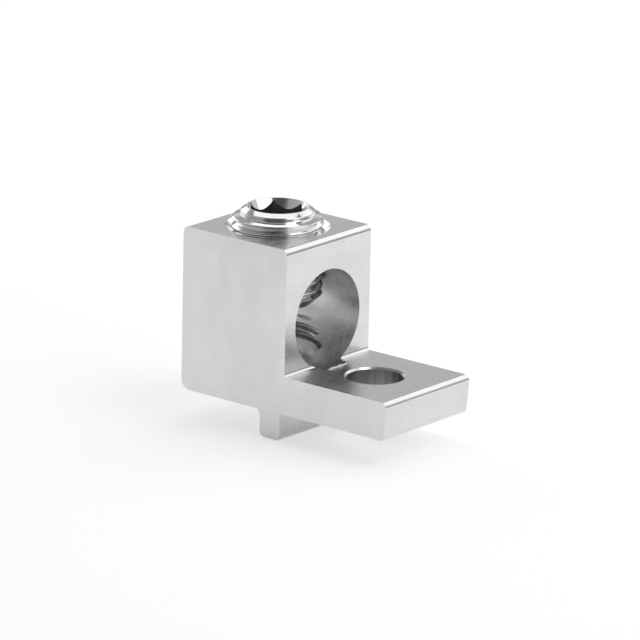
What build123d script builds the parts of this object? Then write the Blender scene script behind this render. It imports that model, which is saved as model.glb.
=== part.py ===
from build123d import *
import os
from math import cos, radians, tan

# Driving dimensions in millimetres, angles in degrees
# The lug stands on its seat plane, Z = 0, and the tongue's stud hole is on the Z axis.
# X runs towards the tongue's tip and Y across the lug.

# Block and tongue, one length cut off an extruded bar
lug_width = 20.3
block_length = 20.5
tongue_length = 19.9
tongue_thickness = 6.0
tip_rake = 0.5  # how far the tip's lower edge stands back from its upper edge

# Anti-turn tang under the block
tang_setback = 15.8  # rear face of the block to the tang
tang_length = 3.9
tang_depth = 4.3

# Rounded edges that the extrusion carries along its width
block_rear_top_radius = 0.9
block_front_top_radius = 1.0
block_rear_bottom_radius = 1.6
inner_corner_radius = 0.6
tip_top_radius = 0.9
tip_bottom_radius = 0.3
tang_root_radius = 1.0
tang_rear_radius = 0.9
tang_front_radius = 0.35

# Wire bore, drilled through the block from its rear face and centred across it
wire_bore_diameter = 15.5
wire_bore_dip = 0.55  # how far the bore cuts below the tongue's top
wire_bore_roof = 5.05  # metal above the bore, which holds the set screw's thread
wire_bore_overrun = 2.1  # full diameter past the block's front face
drill_point_angle = 118.0

# Stud hole through the tongue
stud_hole_diameter = 8.8
stud_hole_setback = 9.5  # front face of the block to the hole's axis
stud_hole_chamfer = 0.3

# Set screw and the tapped hole that it turns in
thread_diameter = 14.29  # outside of the screw's thread
thread_clearance = 0.05  # between the thread's outside and the tapped hole, on the radius
screw_length = 15.0
screw_stand_out = 3.1  # top of the screw above the block
screw_crown_width = 1.0  # sloping ring between the socket's mouth and the chamfer
screw_crown_drop = 0.65
tapped_hole_countersink = 0.9  # width and depth of the bevel round its mouth
tapped_hole_relief = 0.2  # how far the hole goes below the wire bore's lowest line

# Hexagon socket in the screw's top
socket_across_flats = 7.94
socket_depth = 5.2
socket_drill_step = 0.22  # from the flats in to the drilled hole's wall
socket_mouth_margin = 0.12  # from the hexagon's corners out to the mouth's edge
socket_mouth_angle = 60.0  # across the mouth's cone
socket_turn = 17.8  # where the tightened hexagon stopped, about Z from +X

# Places worked out from the sizes
block_front = -stud_hole_setback
block_rear = block_front - block_length
block_middle = (block_front + block_rear) / 2
tongue_tip = block_front + tongue_length
tang_rear = block_rear + tang_setback
tang_front = tang_rear + tang_length
wire_bore_radius = wire_bore_diameter / 2
wire_bore_floor = tongue_thickness - wire_bore_dip
wire_bore_height = wire_bore_floor + wire_bore_radius
block_height = wire_bore_floor + wire_bore_diameter + wire_bore_roof
drill_point_slope = tan(radians(drill_point_angle / 2))
screw_axis = Axis((block_middle, 0, 0), (0, 0, 1))
screw_top = block_height + screw_stand_out
screw_bottom = screw_top - screw_length
screw_radius = thread_diameter / 2
socket_drill_radius = socket_across_flats / 2 - socket_drill_step
socket_mouth_radius = socket_across_flats / 2 / cos(radians(30)) + socket_mouth_margin
socket_mouth_slope = tan(radians(socket_mouth_angle / 2))
socket_mouth_bottom = screw_top - (socket_mouth_radius - socket_drill_radius) / socket_mouth_slope
socket_floor = screw_top - socket_depth
socket_drill_tip = socket_floor - socket_drill_radius / drill_point_slope
screw_end_radius = socket_mouth_radius + screw_crown_width
screw_end_chamfer = screw_radius - screw_end_radius
screw_rim = screw_top - screw_crown_drop
tapped_hole_radius = screw_radius + thread_clearance
tapped_hole_floor = wire_bore_floor - tapped_hole_relief


# Lug body: the extruded block, tongue and tang, then its three holes
with BuildPart() as lug_body:
    with BuildSketch(Plane.XZ) as outline:
        with Locations((block_rear, 0)):
            Rectangle(block_length, block_height, align=(Align.MIN, Align.MIN))
        with BuildLine():
            Polyline(
                (block_front, 0),
                (tongue_tip - tip_rake, 0),
                (tongue_tip, tongue_thickness),
                (block_front, tongue_thickness),
                close=True,
            )
        make_face()
        with Locations((tang_rear, 0)):
            Rectangle(tang_length, tang_depth, align=(Align.MIN, Align.MAX))
        rounded_corners = [
            ((block_rear, block_height), block_rear_top_radius),
            ((block_front, block_height), block_front_top_radius),
            ((block_rear, 0), block_rear_bottom_radius),
            ((block_front, tongue_thickness), inner_corner_radius),
            ((tongue_tip, tongue_thickness), tip_top_radius),
            ((tongue_tip - tip_rake, 0), tip_bottom_radius),
            ((tang_rear, 0), tang_root_radius),
            ((tang_rear, -tang_depth), tang_rear_radius),
            ((tang_front, -tang_depth), tang_front_radius),
        ]
        for corner, radius in rounded_corners:
            fillet(outline.vertices().sort_by_distance((*corner, 0))[0], radius)
    extrude(amount=lug_width / 2, both=True)

    # Wire bore: the drill's full diameter breaks out over the tongue and leaves a shallow scar
    with BuildSketch(Plane.XZ) as drill:
        with BuildLine():
            full_end = block_front + wire_bore_overrun
            point_end = full_end + wire_bore_radius / drill_point_slope
            Polyline(
                (block_rear, wire_bore_height),
                (block_rear, wire_bore_floor),
                (full_end, wire_bore_floor),
                (point_end, wire_bore_height),
                close=True,
            )
        make_face()
    revolve(axis=Axis((0, 0, wire_bore_height), (1, 0, 0)), mode=Mode.SUBTRACT)

    # Tapped hole, across the wire bore and down to its floor
    with Locations((block_middle, 0, block_height)):
        CounterSinkHole(
            radius=tapped_hole_radius,
            counter_sink_radius=tapped_hole_radius + tapped_hole_countersink,
            depth=block_height - tapped_hole_floor,
            counter_sink_angle=90,
        )

    # Stud hole
    with Locations((0, 0, tongue_thickness)):
        CounterSinkHole(
            radius=stud_hole_diameter / 2,
            counter_sink_radius=stud_hole_diameter / 2 + stud_hole_chamfer,
            counter_sink_angle=90,
        )


# Set screw: turned with a crowned, drilled top, then the hexagon is broached
with BuildPart() as set_screw:
    with BuildSketch(Plane.XZ) as turned_half:
        with BuildLine():
            Polyline(
                (block_middle, screw_bottom),
                (block_middle + screw_end_radius, screw_bottom),
                (block_middle + screw_radius, screw_bottom + screw_end_chamfer),
                (block_middle + screw_radius, screw_rim - screw_end_chamfer),
                (block_middle + screw_end_radius, screw_rim),
                (block_middle + socket_mouth_radius, screw_top),
                (block_middle + socket_drill_radius, socket_mouth_bottom),
                (block_middle + socket_drill_radius, socket_floor),
                (block_middle, socket_drill_tip),
                close=True,
            )
        make_face()
    revolve(axis=screw_axis)

    with BuildSketch(Plane((block_middle, 0, screw_top))) as hexagon:
        RegularPolygon(
            socket_across_flats / 2, side_count=6, major_radius=False, rotation=socket_turn
        )
    extrude(amount=-socket_depth, mode=Mode.SUBTRACT)


lug_body.part.label = "lug_body"
set_screw.part.label = "set_screw"

os.makedirs("parts", exist_ok=True)
export_step(lug_body.part, "parts/lug_body.step")
export_step(set_screw.part, "parts/set_screw.step")
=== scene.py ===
from math import cos, pi, radians, sin, tan

import bmesh
import bpy
from mathutils import Matrix, Vector


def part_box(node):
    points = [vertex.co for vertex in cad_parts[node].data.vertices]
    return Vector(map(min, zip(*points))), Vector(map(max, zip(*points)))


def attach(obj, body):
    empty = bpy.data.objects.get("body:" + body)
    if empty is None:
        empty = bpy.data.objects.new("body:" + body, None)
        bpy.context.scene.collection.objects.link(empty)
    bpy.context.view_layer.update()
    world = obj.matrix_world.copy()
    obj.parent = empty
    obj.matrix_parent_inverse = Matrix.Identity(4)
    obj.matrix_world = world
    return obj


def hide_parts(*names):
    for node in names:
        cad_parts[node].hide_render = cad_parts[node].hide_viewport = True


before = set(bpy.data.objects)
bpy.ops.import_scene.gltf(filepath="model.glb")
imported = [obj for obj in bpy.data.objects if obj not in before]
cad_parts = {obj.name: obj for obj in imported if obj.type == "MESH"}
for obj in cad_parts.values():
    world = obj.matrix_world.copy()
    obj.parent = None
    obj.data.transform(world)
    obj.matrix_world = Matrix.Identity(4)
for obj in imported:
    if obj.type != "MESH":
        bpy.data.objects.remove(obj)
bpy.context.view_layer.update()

# Sizes in metres. Outer ones come from the frame, and the rest are those of the real part.
MM = 0.001
body_low, body_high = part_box("lug_body")
screw_low, screw_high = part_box("set_screw")

# Block, tongue and tang
half_width = body_high.y
block_rear = body_low.x
block_front = -9.5 * MM
block_top = body_high.z
tongue_tip = block_front + 19.9 * MM  # its sharp upper corner, before rounding
tongue_top = 6.0 * MM
tip_rake = 0.5 * MM
tang_bottom = body_low.z
tang_rear = block_rear + 15.8 * MM
tang_front = tang_rear + 3.9 * MM
saw_edge_break = 0.12 * MM

# Rounded edges that the extrusion carries along its width
block_rear_bottom_radius = 1.6 * MM
block_rear_top_radius = 0.9 * MM
block_front_top_radius = 1.0 * MM
inner_corner_radius = 0.6 * MM
tip_top_radius = 0.9 * MM
tip_bottom_radius = 0.3 * MM
tang_front_root_radius = 0.1 * MM
tang_front_radius = 0.35 * MM
tang_rear_radius = 0.9 * MM
tang_rear_root_radius = 1.0 * MM

# Wire bore
bore_radius = 7.75 * MM
bore_height = 13.2 * MM
bore_end = block_front + 2.1 * MM
bore_mouth_break = 0.2 * MM
drill_point_half_angle = radians(59)

# Stud hole
stud_radius = 4.4 * MM
stud_chamfer = 0.3 * MM
stud_edge_break = 0.1 * MM

# Lip at the end of the groove that the wire drill leaves in the tongue
lip_half_length = 2.5 * MM
lip_height = 0.3 * MM

# Set screw, 18 threads to the inch
screw_x = (screw_low.x + screw_high.x) / 2
screw_top = screw_high.z
screw_bottom = screw_low.z
screw_radius = (screw_high.x - screw_low.x) / 2
pitch = 25.4 * MM / 18
screw_crest_radius = screw_radius - 0.03 * MM
crest_angle = radians(-50)  # round the axis from +X, where the crest is at the next height
crest_height = screw_top - 1.4 * MM
thread_depth = 0.8 * MM
screw_end_radius = 5.7 * MM
crown_land = 0.16 * MM  # level ring round the socket's mouth
crown_rim = screw_top - 0.55 * MM
crown_foot = screw_top - 1.2 * MM  # shoulder where the thread starts
shoulder_fall = 0.28 * MM
# Painted shade: the screw's thread turns grey below this height, where it sits in the tapped hole
thread_shade_top = block_top + 0.6 * MM
thread_shade_blend = 1.8 * MM
thread_shade_grey = (0.45, 0.448, 0.445, 1)

# Tapped hole, from the top down
tapped_mouth_radius = 8.1 * MM
tap_crest_radius = screw_radius + 0.045 * MM
tapped_thread_end = 6.4 * MM
tap_drill_radius = 6.42 * MM
tap_drill_floor = 5.25 * MM

# Hexagon socket
socket_flat_radius = 3.97 * MM
socket_corner_radius = socket_flat_radius / cos(pi / 6)
socket_mouth_radius = 4.7 * MM
socket_mouth_half_angle = radians(26)
socket_drill_radius = 3.75 * MM
socket_floor = screw_top - 5.2 * MM
socket_turn = radians(17.8)

# Finishes, in the order of the material slots of the lug and of the screw
SAWN, EXTRUDED, ROUNDED, DRILLED, TAPPED, PUNCHED, EDGE = range(7)
BRIGHT, BROACHED = range(2)
sharp_angle = radians(32)  # edges sharper than this stay sharp in the shading

# Floor: what it glows for the camera, which softens its shadow, and in reflections
floor_radius = 3.0
floor_glow = 0.54
reflected_glow = 0.25

# Room: (sine of the elevation, grey) from the horizon up, and a dark part on the camera's side
room_levels = [(0.0, 0.3), (0.17, 0.35), (0.28, 0.8), (0.38, 0.46), (0.7, 0.28), (0.82, 0.12)]
dark_side = (0.48, -0.84, 0.26)
dark_edges = (0.75, 0.92)  # cosines of the angles from there at which it starts and is full
dark_strength = 0.25

# Softboxes: azimuth and elevation in degrees, width and height in metres, and watts
softbox_distance = 0.6
softboxes = {
    "overhead": (138, 67, 0.60, 0.60, 0.92),
    "back": (82, 36, 0.58, 0.39, 0.47),
    "right": (12, 33, 0.72, 0.60, 1.0),
    "left": (170, 17, 0.44, 0.38, 0.41),
    "key": (19, 64, 0.22, 0.22, 0.4),
}

# Camera, fitted to the photo. Lens and sensor are in millimetres
camera_azimuth = radians(38.88)
camera_elevation = radians(16.348)
camera_roll = radians(1.286)
camera_aim = Vector((-9.142, -2.289, 13.489)) * MM
camera_distance = 915.12 * MM
lens_length = 337.5
sensor_width = 36


def add_piece(name, bm, materials):
    """Makes an object of the mesh, with normals outwards."""
    bmesh.ops.recalc_face_normals(bm, faces=bm.faces)
    mesh = bpy.data.meshes.new(name)
    bm.to_mesh(mesh)
    bm.free()
    for material in materials:
        mesh.materials.append(material)
    piece = bpy.data.objects.new(name, mesh)
    bpy.context.scene.collection.objects.link(piece)
    return piece


def revolved(name, profile, materials, finish, segments, place=Matrix()):
    """A closed solid turned about Z from (radius, height) points that start and end on the axis."""
    bm = bmesh.new()
    start = bm.verts.new((0, 0, profile[0][1]))
    end = bm.verts.new((0, 0, profile[-1][1]))
    rings = []
    for radius, height in profile[1:-1]:
        turns = (2 * pi * i / segments for i in range(segments))
        rings.append([bm.verts.new((radius * cos(a), radius * sin(a), height)) for a in turns])
    for i in range(segments):
        j = (i + 1) % segments
        bm.faces.new((start, rings[0][i], rings[0][j]))
        for low, high in zip(rings, rings[1:]):
            bm.faces.new((low[i], high[i], high[j], low[j]))
        bm.faces.new((rings[-1][i], end, rings[-1][j]))
    for face in bm.faces:
        face.material_index = finish
    bm.transform(place)
    return add_piece(name, bm, materials)


def thread_height(turn):
    """Height of a 60 degree thread above its root, 0 to 1, at a share of a pitch from the crest."""
    crest_half, root_half = 0.09, 0.06  # half the width of the flats
    away = abs((turn + 0.5) % 1 - 0.5)
    height = (0.5 - root_half - away) / (0.5 - root_half - crest_half)
    return min(1, max(0, height))


def threaded_solid(name, crest_radius, low, high, below, above, materials, finishes):
    """A right-hand threaded solid along Z, in step with the set screw's crest.

    The thread runs from low to high. below and above hold the (radius, height) points of its
    plain ends from the bottom up, and finishes are those of the thread and of these ends.
    """
    segments = 144
    rows_a_pitch = 20
    margin = 0.01 * MM  # no row is nearer than this to an end
    bm = bmesh.new()

    def point(angle, radius, height):
        around = angle + crest_angle
        return bm.verts.new((radius * cos(around), radius * sin(around), height))

    def thread_point(angle, height):
        turn = (height - crest_height) / pitch - angle / (2 * pi)
        # the crest's edges and the root are rounded
        rounded = sum(thread_height(turn + share) for share in (-0.06, -0.03, 0, 0.03, 0.06)) / 5
        return point(angle, crest_radius - thread_depth * (1 - rounded), height)

    angles = [2 * pi * i / segments for i in range(segments)]
    bottom = [thread_point(angle, low) for angle in angles]
    top = [thread_point(angle, high) for angle in angles]
    # turns counted from the crest's height, with some to spare past both ends
    first = int((low - crest_height) / pitch) - 2
    last = int((high - crest_height) / pitch) + 3
    rows = []
    for k in range(first * rows_a_pitch, last * rows_a_pitch):
        row = []
        for i, angle in enumerate(angles):
            height = crest_height + pitch * (k / rows_a_pitch + angle / (2 * pi))
            inside = low + margin < height < high - margin
            end = bottom[i] if height < high - margin else top[i]
            row.append(thread_point(angle, height) if inside else end)
        rows.append(row)
    for k in range(len(rows) - rows_a_pitch - 1):
        for i in range(segments - 1):
            add_face(bm, rows[k][i], rows[k][i + 1], rows[k + 1][i + 1], rows[k + 1][i])
        # the last column of a row meets the first column one pitch higher
        up = k + rows_a_pitch
        add_face(bm, rows[k][-1], rows[up][0], rows[up + 1][0], rows[k + 1][-1])

    for face in bm.faces:
        face.material_index = finishes[0]

    under = [[point(angle, *spot) for angle in angles] for spot in below[1:]]
    over = [[point(angle, *spot) for angle in angles] for spot in above[:-1]]
    lower, upper = under + [bottom], [top] + over
    for rings in (lower, upper):
        for a, b in zip(rings, rings[1:]):
            for i in range(segments):
                add_face(bm, a[i - 1], a[i], b[i], b[i - 1], finish=finishes[1])
    for ring, (_, height) in ((lower[0], below[0]), (upper[-1], above[-1])):
        centre = bm.verts.new((0, 0, height))
        for i in range(segments):
            add_face(bm, ring[i - 1], ring[i], centre, finish=finishes[1])
    bm.transform(Matrix.Translation((screw_x, 0, 0)))
    return add_piece(name, bm, materials)


def add_face(bm, *corners, finish=0):
    """A face of the corners that differ, if there are three or more."""
    corners = list(dict.fromkeys(corners))
    if len(corners) > 2:
        bm.faces.new(corners).material_index = finish


def combine(piece, cutter, operation):
    """Cuts, joins or trims the piece with the cutter, and removes the cutter."""
    modifier = piece.modifiers.new(operation.lower(), "BOOLEAN")
    modifier.operation = operation
    modifier.solver = "MANIFOLD"
    modifier.object = cutter
    apply_modifiers(piece)
    bpy.data.objects.remove(cutter)


def apply_modifiers(piece):
    """Turns the modified shape into the piece's own mesh."""
    depsgraph = bpy.context.evaluated_depsgraph_get()
    mesh = bpy.data.meshes.new_from_object(piece.evaluated_get(depsgraph))
    piece.modifiers.clear()
    piece.data = mesh


def smooth(piece):
    """Shades curved faces smoothly, and keeps edges sharp, also where the finish changes."""
    for polygon in piece.data.polygons:
        polygon.use_smooth = True
    piece.data.set_sharp_from_angle(angle=sharp_angle)
    finishes = {}
    for polygon in piece.data.polygons:
        for key in polygon.edge_keys:
            finishes.setdefault(key, set()).add(polygon.material_index)
    for edge in piece.data.edges:
        if len(finishes[edge.key]) > 1:
            edge.use_edge_sharp = True
    normals = piece.modifiers.new("even faces", "WEIGHTED_NORMAL")
    normals.keep_sharp = True


def rounded_outline(corners, arc_steps=10):
    """Points of an outline, with an arc at each ((across, up), radius) corner that has a radius."""
    points = []
    for k, (corner, radius) in enumerate(corners):
        corner = Vector(corner)
        if not radius:
            points.append(corner)
            continue
        before = (Vector(corners[k - 1][0]) - corner).normalized()
        after = (Vector(corners[(k + 1) % len(corners)][0]) - corner).normalized()
        half = before.angle(after) / 2
        centre = corner + (before + after).normalized() * radius / sin(half)
        start = corner + before * radius / tan(half) - centre
        sweep = start.angle_signed(corner + after * radius / tan(half) - centre)
        for i in range(arc_steps + 1):
            points.append(centre + Matrix.Rotation(-sweep * i / arc_steps, 2) @ start)
    return points


def extruded_bar(materials):
    """The block, tongue and tang as one length of bar with sawn ends."""
    outline = rounded_outline([
        ((block_rear, 0), block_rear_bottom_radius),
        ((block_rear, block_top), block_rear_top_radius),
        ((block_front, block_top), block_front_top_radius),
        ((block_front, tongue_top), inner_corner_radius),
        ((tongue_tip, tongue_top), tip_top_radius),
        ((tongue_tip - tip_rake, 0), tip_bottom_radius),
        ((tang_front, 0), tang_front_root_radius),
        ((tang_front, tang_bottom), tang_front_radius),
        ((tang_rear, tang_bottom), tang_rear_radius),
        ((tang_rear, 0), tang_rear_root_radius),
    ])
    bm = bmesh.new()
    near = [bm.verts.new((x, -half_width, z)) for x, z in outline]
    far = [bm.verts.new((x, half_width, z)) for x, z in outline]
    ends = [bm.faces.new(near), bm.faces.new(far)]
    for i in range(len(outline)):
        j = (i + 1) % len(outline)
        bm.faces.new((near[i], near[j], far[j], far[i]))
    edges = [edge for end in ends for edge in end.edges]
    bmesh.ops.bevel(
        bm, geom=edges, offset=saw_edge_break, segments=2, profile=0.5, affect="EDGES"
    )
    bm.normal_update()
    for face in bm.faces:
        face.material_index = bar_finish(face.normal)
    return add_piece("lug_body_metal", bm, materials)


def bar_finish(normal):
    """Finish of the bar's face by its direction: cut, edge of the cut, flat side or rounded."""
    across = abs(normal.y)
    if across > 0.95:
        return SAWN
    if across > 0.05:
        return EDGE
    flat = max(abs(normal.x), abs(normal.z)) > 0.995
    return EXTRUDED if flat else ROUNDED


def wire_drill(materials):
    """The wire bore's drill, wider at the rear mouth, with its point past the block's front."""
    outside = 1 * MM
    point = bore_radius / tan(drill_point_half_angle)
    profile = [
        (0, block_rear - outside),
        (bore_radius + bore_mouth_break + outside, block_rear - outside),
        (bore_radius, block_rear + bore_mouth_break),
        (bore_radius, bore_end),
        (0, bore_end + point),
    ]
    place = Matrix.Translation((0, 0, bore_height)) @ Matrix.Rotation(pi / 2, 4, "Y")
    return revolved("wire_drill", profile, materials, DRILLED, 192, place)


def tapped_hole(body, materials):
    """Cuts the threaded hole, its plain lower end and its countersink down through the block."""
    outside = 2 * MM
    top = block_top + outside
    drilled_end = [
        (0, tap_drill_floor),
        (tap_drill_radius, tap_drill_floor),
        (tap_drill_radius, tapped_thread_end - 0.2 * MM),
    ]
    tap = threaded_solid(
        "tap", tap_crest_radius, tapped_thread_end, top, drilled_end, [(0, top)], materials,
        (TAPPED, SAWN),
    )
    combine(body, tap, "DIFFERENCE")
    root_radius = tap_crest_radius - thread_depth
    bevel_floor = block_top - (tapped_mouth_radius - root_radius)
    countersink = [
        (0, bevel_floor),
        (root_radius, bevel_floor),
        (tapped_mouth_radius + outside, top),
        (0, top),
    ]
    place = Matrix.Translation((screw_x, 0, 0))
    cutter = revolved("countersink", countersink, materials, ROUNDED, 160, place)
    combine(body, cutter, "DIFFERENCE")


def stud_hole(materials):
    """The drill that makes the stud hole, with a chamfer above and a broken edge below."""
    outside = 1 * MM
    profile = [
        (0, -outside),
        (stud_radius + stud_edge_break + outside, -outside),
        (stud_radius, stud_edge_break),
        (stud_radius, tongue_top - stud_chamfer),
        (stud_radius + stud_chamfer + outside, tongue_top + outside),
        (0, tongue_top + outside),
    ]
    drill = revolved("stud_drill", profile, materials, PUNCHED, 128)
    for polygon in drill.data.polygons:
        if abs(polygon.normal.z) > 0.1:
            polygon.material_index = EXTRUDED
    return drill


def groove_burr(materials):
    """The thin lip that the wire drill pushed up at the end of its groove in the tongue."""
    steps = 24
    bm = bmesh.new()
    rings = []
    for i in range(steps + 1):
        share = 2 * i / steps - 1
        y = lip_half_length * share
        reach = Vector((y, bore_height - tongue_top)).length
        x = bore_end + (bore_radius - reach) / tan(drill_point_half_angle)
        rise = lip_height * (1 - share ** 2) ** 0.5 * (1 + 0.25 * sin(9 * share + 1))
        foot = tongue_top - 0.06 * MM
        # inner foot, inner top, outer top and outer foot of a lip that leans over the tongue
        rings.append([
            bm.verts.new((x - 0.08 * MM, y, foot - 0.08 * MM)),
            bm.verts.new((x + 0.02 * MM, y, tongue_top + rise)),
            bm.verts.new((x + 0.14 * MM, y, tongue_top + rise * 0.94)),
            bm.verts.new((x + 0.06 * MM, y, foot)),
        ])
    for a, b in zip(rings, rings[1:]):
        for i in range(4):
            bm.faces.new((a[i - 1], a[i], b[i], b[i - 1]))
    bm.faces.new(rings[0])
    bm.faces.new(rings[-1])
    for face in bm.faces:
        face.material_index = DRILLED
    return add_piece("burr", bm, materials)


def lug_body():
    """The lug body: the bar with its wire bore, tapped hole and stud hole."""
    materials = [
        sawn_metal(), extruded_metal(), rounded_metal(), drilled_metal(), shaded_tapped_metal(),
        punched_metal(), shaded_edge_metal(),
    ]
    body = extruded_bar(materials)
    combine(body, wire_drill(materials), "DIFFERENCE")
    combine(body, groove_burr(materials), "UNION")
    combine(body, stud_hole(materials), "DIFFERENCE")
    tapped_hole(body, materials)
    smooth(body)
    return body


def set_screw():
    """The set screw: a threaded rod, turned to its outline, with a hexagon socket."""
    materials = [screw_metal(), shaded_socket_metal()]
    outside = 1 * MM
    low, high = screw_bottom - outside, screw_top + outside
    screw = threaded_solid(
        "set_screw_metal", screw_crest_radius, low, high, [(0, low)], [(0, high)], materials,
        (BRIGHT, BRIGHT),
    )
    place = Matrix.Translation((screw_x, 0, 0))
    turned = revolved("turned_outside", turned_outline(), materials, BRIGHT, 160, place)
    combine(screw, turned, "INTERSECT")
    drill = revolved("socket_drill", socket_drill_outline(), materials, BRIGHT, 128, place)
    combine(screw, drill, "DIFFERENCE")
    combine(screw, hexagon_broach(materials), "DIFFERENCE")
    mark_socket_walls(screw)
    smooth(screw)
    return screw


def turned_outline():
    """The screw's outline from the bottom up: chamfered end, thread, shoulder, neck and crown."""
    end_width = screw_radius - screw_end_radius
    return rounded_outline([
        ((0, screw_bottom), 0),
        ((screw_end_radius, screw_bottom), 0.15 * MM),
        ((screw_radius, screw_bottom + end_width), 0.2 * MM),
        ((screw_radius, crown_foot - shoulder_fall), 0.15 * MM),
        ((screw_end_radius + 0.1 * MM, crown_foot), 0.15 * MM),
        ((screw_end_radius, crown_rim), 0.25 * MM),
        ((socket_mouth_radius + crown_land, screw_top), 0.12 * MM),
        ((0, screw_top), 0),
    ], arc_steps=5)


def socket_drill_outline():
    """The drill that goes before the broach: its point, its wall and the socket's conical mouth."""
    outside = 1 * MM
    slope = tan(socket_mouth_half_angle)
    return [
        (0, socket_floor - socket_drill_radius / tan(drill_point_half_angle)),
        (socket_drill_radius, socket_floor),
        (socket_drill_radius, screw_top - (socket_mouth_radius - socket_drill_radius) / slope),
        (socket_mouth_radius + outside * slope, screw_top + outside),
        (0, screw_top + outside),
    ]


def mark_socket_walls(screw):
    """Gives the upright faces inside the socket their own finish, whose dark grey is painted shade.
    """
    for polygon in screw.data.polygons:
        centre = polygon.center
        inside = (centre - Vector((screw_x, 0, centre.z))).length < socket_corner_radius
        deep = centre.z < screw_top - 0.3 * MM
        if inside and deep and abs(polygon.normal.z) < 0.1:
            polygon.material_index = BROACHED


def hexagon_broach(materials):
    """The tool that makes the hexagon, down to the socket's floor."""
    outside = 1 * MM
    bm = bmesh.new()
    rings = []
    for height in (socket_floor, screw_top + outside):
        ring = []
        for k in range(6):
            angle = socket_turn + k * pi / 3
            x = screw_x + socket_corner_radius * cos(angle)
            ring.append(bm.verts.new((x, socket_corner_radius * sin(angle), height)))
        rings.append(ring)
    bm.faces.new(rings[0])
    bm.faces.new(rings[1])
    for i in range(6):
        j = (i + 1) % 6
        bm.faces.new((rings[0][i], rings[0][j], rings[1][j], rings[1][i]))
    return add_piece("broach", bm, materials)


class Shader:
    """Nodes of one material, added and joined by name."""

    def __init__(self, name):
        self.material = bpy.data.materials.new(name)
        self.material.use_nodes = True
        self.tree = self.material.node_tree
        self.surface = self.tree.nodes["Principled BSDF"]
        self.place = self.add("ShaderNodeTexCoord").outputs["Object"]

    def add(self, kind, **settings):
        """Adds a node and sets its properties."""
        node = self.tree.nodes.new(kind)
        for key, value in settings.items():
            setattr(node, key, value)
        return node

    def join(self, output, node, name):
        """Joins an output to the node's input of that name or number."""
        self.tree.links.new(output, node.inputs[name])

    def noise(self, scale, stretch, detail=3.0):
        """Noise of so many grains a metre, stretched along the axes."""
        mapping = self.add("ShaderNodeMapping")
        mapping.inputs["Scale"].default_value = stretch
        self.join(self.place, mapping, "Vector")
        node = self.add("ShaderNodeTexNoise")
        node.inputs["Scale"].default_value = scale
        node.inputs["Detail"].default_value = detail
        node.inputs["Roughness"].default_value = 0.55
        self.join(mapping.outputs["Vector"], node, "Vector")
        return node.outputs["Fac"]

    def ramp(self, value, low, high, ends=(0.35, 0.65)):
        """Blends between two colours over a range of the value."""
        node = self.add("ShaderNodeValToRGB")
        node.color_ramp.elements[0].position = ends[0]
        node.color_ramp.elements[1].position = ends[1]
        node.color_ramp.elements[0].color = (*low, 1)
        node.color_ramp.elements[1].color = (*high, 1)
        self.join(value, node, "Fac")
        return node.outputs["Color"]

    def remap(self, value, low, high):
        """Maps a noise's usual range to a range of numbers."""
        node = self.add("ShaderNodeMapRange")
        node.inputs["From Min"].default_value = 0.3
        node.inputs["From Max"].default_value = 0.7
        node.inputs["To Min"].default_value = low
        node.inputs["To Max"].default_value = high
        self.join(value, node, "Value")
        return node.outputs["Result"]

    def bump(self, value, depth, strength):
        """Raises the surface by so many metres at the value's highest."""
        node = self.add("ShaderNodeBump")
        node.inputs["Strength"].default_value = strength
        node.inputs["Distance"].default_value = depth
        self.join(value, node, "Height")
        return node.outputs["Normal"]


def plated(name, colours, roughness, cloud_scale, stretch):
    """Plated metal between two colours and two roughnesses, in soft clouds."""
    shader = Shader(name)
    shader.surface.inputs["Metallic"].default_value = 1.0
    clouds = shader.noise(cloud_scale, stretch)
    shader.join(shader.ramp(clouds, *colours), shader.surface, "Base Color")
    gloss = shader.noise(cloud_scale * 2.3, stretch, detail=4.0)
    shader.join(shader.remap(gloss, *roughness), shader.surface, "Roughness")
    return shader


def sawn_metal():
    """The bar's cut faces: satin, softly mottled, with faint saw lines."""
    shader = plated(
        "sawn plated aluminium",
        colours=((0.72, 0.715, 0.705), (0.77, 0.755, 0.74)),
        roughness=(0.26, 0.36),
        cloud_scale=170,
        stretch=(1, 1, 0.6),
    )
    lines = shader.noise(1300, (1, 1, 0.1), detail=1.0)
    shader.join(shader.bump(lines, 0.004 * MM, 0.25), shader.surface, "Normal")
    return shader.material


def extruded_metal():
    """The bar's drawn faces: satin, with die lines along its length."""
    shader = plated(
        "extruded plated aluminium",
        colours=((0.70, 0.70, 0.695), (0.75, 0.745, 0.73)),
        roughness=(0.24, 0.34),
        cloud_scale=300,
        stretch=(1, 0.4, 1),
    )
    lines = shader.noise(2200, (1, 0.03, 1), detail=2.0)
    shader.join(shader.bump(lines, 0.006 * MM, 0.3), shader.surface, "Normal")
    return shader.material


def rounded_metal():
    """The bar's rounded edges and the countersink, which are bright."""
    shader = plated(
        "bright plated aluminium",
        colours=((0.78, 0.783, 0.79), (0.84, 0.835, 0.83)),
        roughness=(0.1, 0.17),
        cloud_scale=300,
        stretch=(1, 0.4, 1),
    )
    return shader.material


def drilled_metal():
    """Drilled walls: rings of tool marks round the bore."""
    shader = plated(
        "drilled plated aluminium",
        colours=((0.79, 0.79, 0.798), (0.86, 0.855, 0.85)),
        roughness=(0.24, 0.36),
        cloud_scale=420,
        stretch=(1, 0.4, 0.4),
    )
    rings = shader.noise(1700, (1, 0.05, 0.05), detail=3.0)
    shader.join(shader.bump(rings, 0.014 * MM, 0.45), shader.surface, "Normal")
    return shader.material


def punched_metal():
    """The stud hole's wall: dull, with streaks along it."""
    shader = plated(
        "punched plated aluminium",
        colours=((0.34, 0.34, 0.345), (0.56, 0.555, 0.55)),
        roughness=(0.24, 0.36),
        cloud_scale=900,
        stretch=(1, 1, 0.1),
    )
    streaks = shader.noise(1800, (1, 1, 0.05))
    shader.join(shader.bump(streaks, 0.02 * MM, 0.6), shader.surface, "Normal")
    return shader.material


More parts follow.
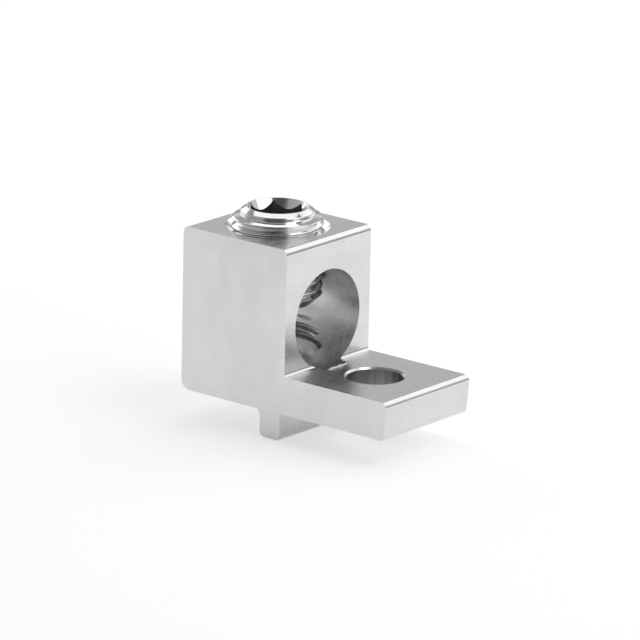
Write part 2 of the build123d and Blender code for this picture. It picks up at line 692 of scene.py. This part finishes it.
def shaded_edge_metal():
    """The thin broken edges of the cut faces, in a darker grey that paints a line of shade along
    them.
    """
    shader = plated(
        "edge of plated aluminium with painted shade",
        # about half the faces' colour: painted shade along the edges
        colours=((0.36, 0.36, 0.365), (0.46, 0.455, 0.45)),
        roughness=(0.28, 0.36),
        cloud_scale=400,
        stretch=(1, 1, 1),
    )
    return shader.material


def shaded_tapped_metal():
    """The tapped hole's thread, in a dark grey that is painted shade inside the hole."""
    shader = plated(
        "tapped plated aluminium with painted shade",
        # dark grey: painted shade inside the tapped hole
        colours=((0.38, 0.38, 0.385), (0.46, 0.455, 0.45)),
        roughness=(0.16, 0.26),
        cloud_scale=600,
        stretch=(1, 1, 1),
    )
    grain = shader.noise(2400, (0.3, 0.3, 1))
    shader.join(shader.bump(grain, 0.008 * MM, 0.5), shader.surface, "Normal")
    return shader.material


def shaded_socket_metal():
    """The broached walls of the socket, in a dark grey that is painted shade inside the socket."""
    shader = plated(
        "broached socket with painted shade",
        # dark grey: painted shade inside the hexagon socket
        colours=((0.24, 0.24, 0.24), (0.32, 0.315, 0.31)),
        roughness=(0.3, 0.4),
        cloud_scale=700,
        stretch=(1, 1, 0.2),
    )
    return shader.material


def screw_metal():
    """The screw's bright plating with turning marks, and painted shade that greys its thread below
    the lug's top.
    """
    shader = plated(
        "bright plated screw",
        colours=((0.76, 0.765, 0.77), (0.84, 0.835, 0.83)),
        roughness=(0.08, 0.16),
        cloud_scale=500,
        stretch=(1, 1, 1),
    )
    axes = shader.add("ShaderNodeSeparateXYZ")
    shader.join(shader.place, axes, "Vector")
    # painted shade: grey below the lug's top, blending into the bright plating above it
    height = shader.add("ShaderNodeMapRange")
    height.inputs["From Min"].default_value = thread_shade_top - thread_shade_blend
    height.inputs["From Max"].default_value = thread_shade_top
    shader.join(axes.outputs["Z"], height, "Value")
    bright = shader.surface.inputs["Base Color"].links[0].from_socket
    mix = shader.add("ShaderNodeMix", data_type="RGBA")
    mix.inputs["A"].default_value = thread_shade_grey
    shader.join(height.outputs["Result"], mix, "Factor")
    shader.tree.links.new(bright, mix.inputs["B"])
    shader.tree.links.new(mix.outputs["Result"], shader.surface.inputs["Base Color"])
    marks = shader.noise(3400, (0.08, 0.08, 1), detail=4.0)
    shader.join(shader.bump(marks, 0.006 * MM, 0.5), shader.surface, "Normal")
    return shader.material


def floor():
    """A plain white sweep under the lug."""
    bm = bmesh.new()
    bmesh.ops.create_circle(bm, cap_ends=True, radius=floor_radius, segments=96)
    bmesh.ops.translate(bm, verts=bm.verts, vec=(0, 0, tang_bottom))
    shader = Shader("white floor")
    shader.surface.inputs["Roughness"].default_value = 0.9
    shader.surface.inputs["Specular IOR Level"].default_value = 0.0
    shader.surface.inputs["Emission Color"].default_value = (1, 1, 1, 1)
    path = shader.add("ShaderNodeLightPath")
    camera_ray = path.outputs["Is Camera Ray"]
    # white for the lug, and dimmer for the camera, where the glow makes up for it
    white = (0.96, 0.96, 0.96)
    dimmed = (0.62, 0.62, 0.62)
    shader.join(shader.ramp(camera_ray, white, dimmed, (0, 1)), shader.surface, "Base Color")
    reflected = shader.add("ShaderNodeMath", operation="MULTIPLY")
    shader.join(path.outputs["Is Glossy Ray"], reflected, 0)
    reflected.inputs[1].default_value = reflected_glow
    glow = shader.add("ShaderNodeMath", operation="MULTIPLY_ADD")
    shader.join(camera_ray, glow, 0)
    glow.inputs[1].default_value = floor_glow
    shader.join(reflected.outputs[0], glow, 2)
    shader.join(glow.outputs[0], shader.surface, "Emission Strength")
    piece = add_piece("studio_floor", bm, [shader.material])


def studio_world():
    """A grey room whose brightness goes by height, with a dark part on the camera's side."""
    world = bpy.data.worlds.new("studio")
    bpy.context.scene.world = world
    world.use_nodes = True
    tree = world.node_tree
    background = tree.nodes["Background"]
    place = tree.nodes.new("ShaderNodeTexCoord")
    axes = tree.nodes.new("ShaderNodeSeparateXYZ")
    tree.links.new(place.outputs["Generated"], axes.inputs[0])
    ramp = tree.nodes.new("ShaderNodeValToRGB")
    while len(ramp.color_ramp.elements) < len(room_levels):
        ramp.color_ramp.elements.new(0.5)
    for element, (position, level) in zip(ramp.color_ramp.elements, room_levels):
        element.position = position
        element.color = (level, level, level, 1)
    tree.links.new(axes.outputs["Z"], ramp.inputs["Fac"])
    tree.links.new(ramp.outputs["Color"], background.inputs["Color"])
    side = tree.nodes.new("ShaderNodeVectorMath")
    side.operation = "DOT_PRODUCT"
    side.inputs[1].default_value = dark_side
    tree.links.new(place.outputs["Generated"], side.inputs[0])
    shade = tree.nodes.new("ShaderNodeMapRange")
    shade.interpolation_type = "SMOOTHSTEP"
    shade.inputs["From Min"].default_value = dark_edges[0]
    shade.inputs["From Max"].default_value = dark_edges[1]
    shade.inputs["To Min"].default_value = 1.0
    shade.inputs["To Max"].default_value = dark_strength
    tree.links.new(side.outputs["Value"], shade.inputs["Value"])
    tree.links.new(shade.outputs["Result"], background.inputs["Strength"])


def softbox(name, azimuth, elevation, wide, high, energy):
    """An elliptical light at the softboxes' distance, which faces the stud hole."""
    data = bpy.data.lights.new(name, "AREA")
    data.shape = "ELLIPSE"
    data.size = wide
    data.size_y = high
    data.energy = energy
    azimuth, elevation = radians(azimuth), radians(elevation)
    towards = Vector((cos(azimuth) * cos(elevation), sin(azimuth) * cos(elevation), sin(elevation)))
    lamp = bpy.data.objects.new(name, data)
    lamp.location = towards * softbox_distance
    lamp.rotation_euler = towards.to_track_quat("Z", "Y").to_euler()
    bpy.context.scene.collection.objects.link(lamp)


def camera():
    """A long lens, above and to the right of the bar's near end."""
    level = Vector((cos(camera_azimuth), sin(camera_azimuth), 0))
    view = Vector((
        -sin(camera_azimuth) * cos(camera_elevation),
        cos(camera_azimuth) * cos(camera_elevation),
        -sin(camera_elevation),
    ))
    upright = level.cross(view)
    across = cos(camera_roll) * level + sin(camera_roll) * upright
    up = -sin(camera_roll) * level + cos(camera_roll) * upright
    data = bpy.data.cameras.new("camera")
    data.sensor_width = sensor_width
    data.lens = lens_length
    data.clip_start = 0.01
    data.clip_end = 20
    rig = bpy.data.objects.new("camera", data)
    rig.matrix_world = Matrix((across, up, -view)).transposed().to_4x4()
    rig.location = camera_aim - camera_distance * view
    bpy.context.scene.collection.objects.link(rig)
    bpy.context.scene.camera = rig


bpy.context.scene.view_settings.view_transform = "Standard"

body = lug_body()
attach(body, "lug")
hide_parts("lug_body")

screw = set_screw()
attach(screw, "screw")
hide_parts("set_screw")

floor()
studio_world()
for name, values in softboxes.items():
    softbox(name, *values)
camera()
